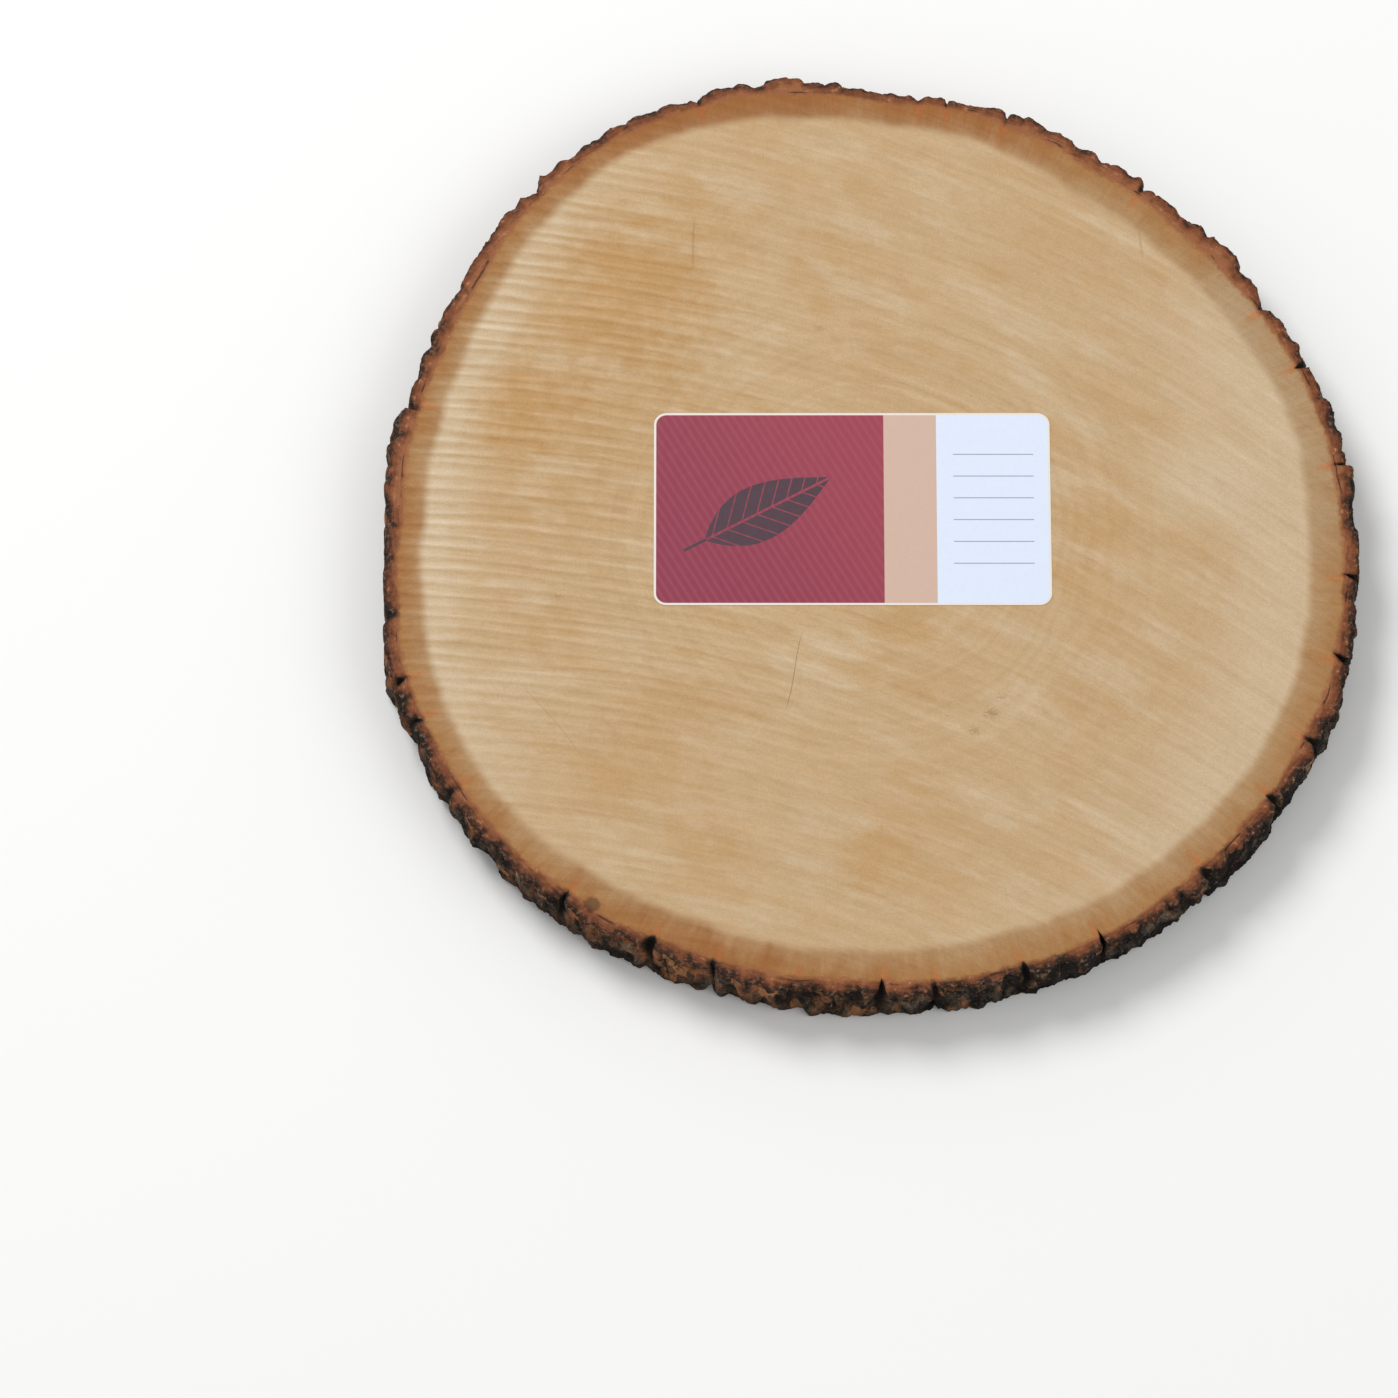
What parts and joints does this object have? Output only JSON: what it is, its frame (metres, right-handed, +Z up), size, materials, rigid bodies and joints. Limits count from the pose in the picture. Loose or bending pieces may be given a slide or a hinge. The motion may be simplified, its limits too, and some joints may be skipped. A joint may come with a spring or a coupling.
{
  "type": "wood slice",
  "caption": "Flat round slice of a pale log with furrowed bark round its edge and a plain printed paper label on the upper cut face.",
  "frame": {"origin": "under the middle of the slice's outline, on the surface that it lies on", "axes": "+Z up through the slice, from the underside to the labelled cut face; +X to the right along the label's long side; +Y towards the label's upper edge"},
  "size_m": [0.2312, 0.233, 0.0166],
  "materials": {
    "slice_wood": "rough sawn, with bark",
    "label_paper": "semi-gloss printed"
  },
  "bodies": {
    "root": {"wood_slice": "slice_wood", "label": "label_paper"}
  },
  "joints": []
}
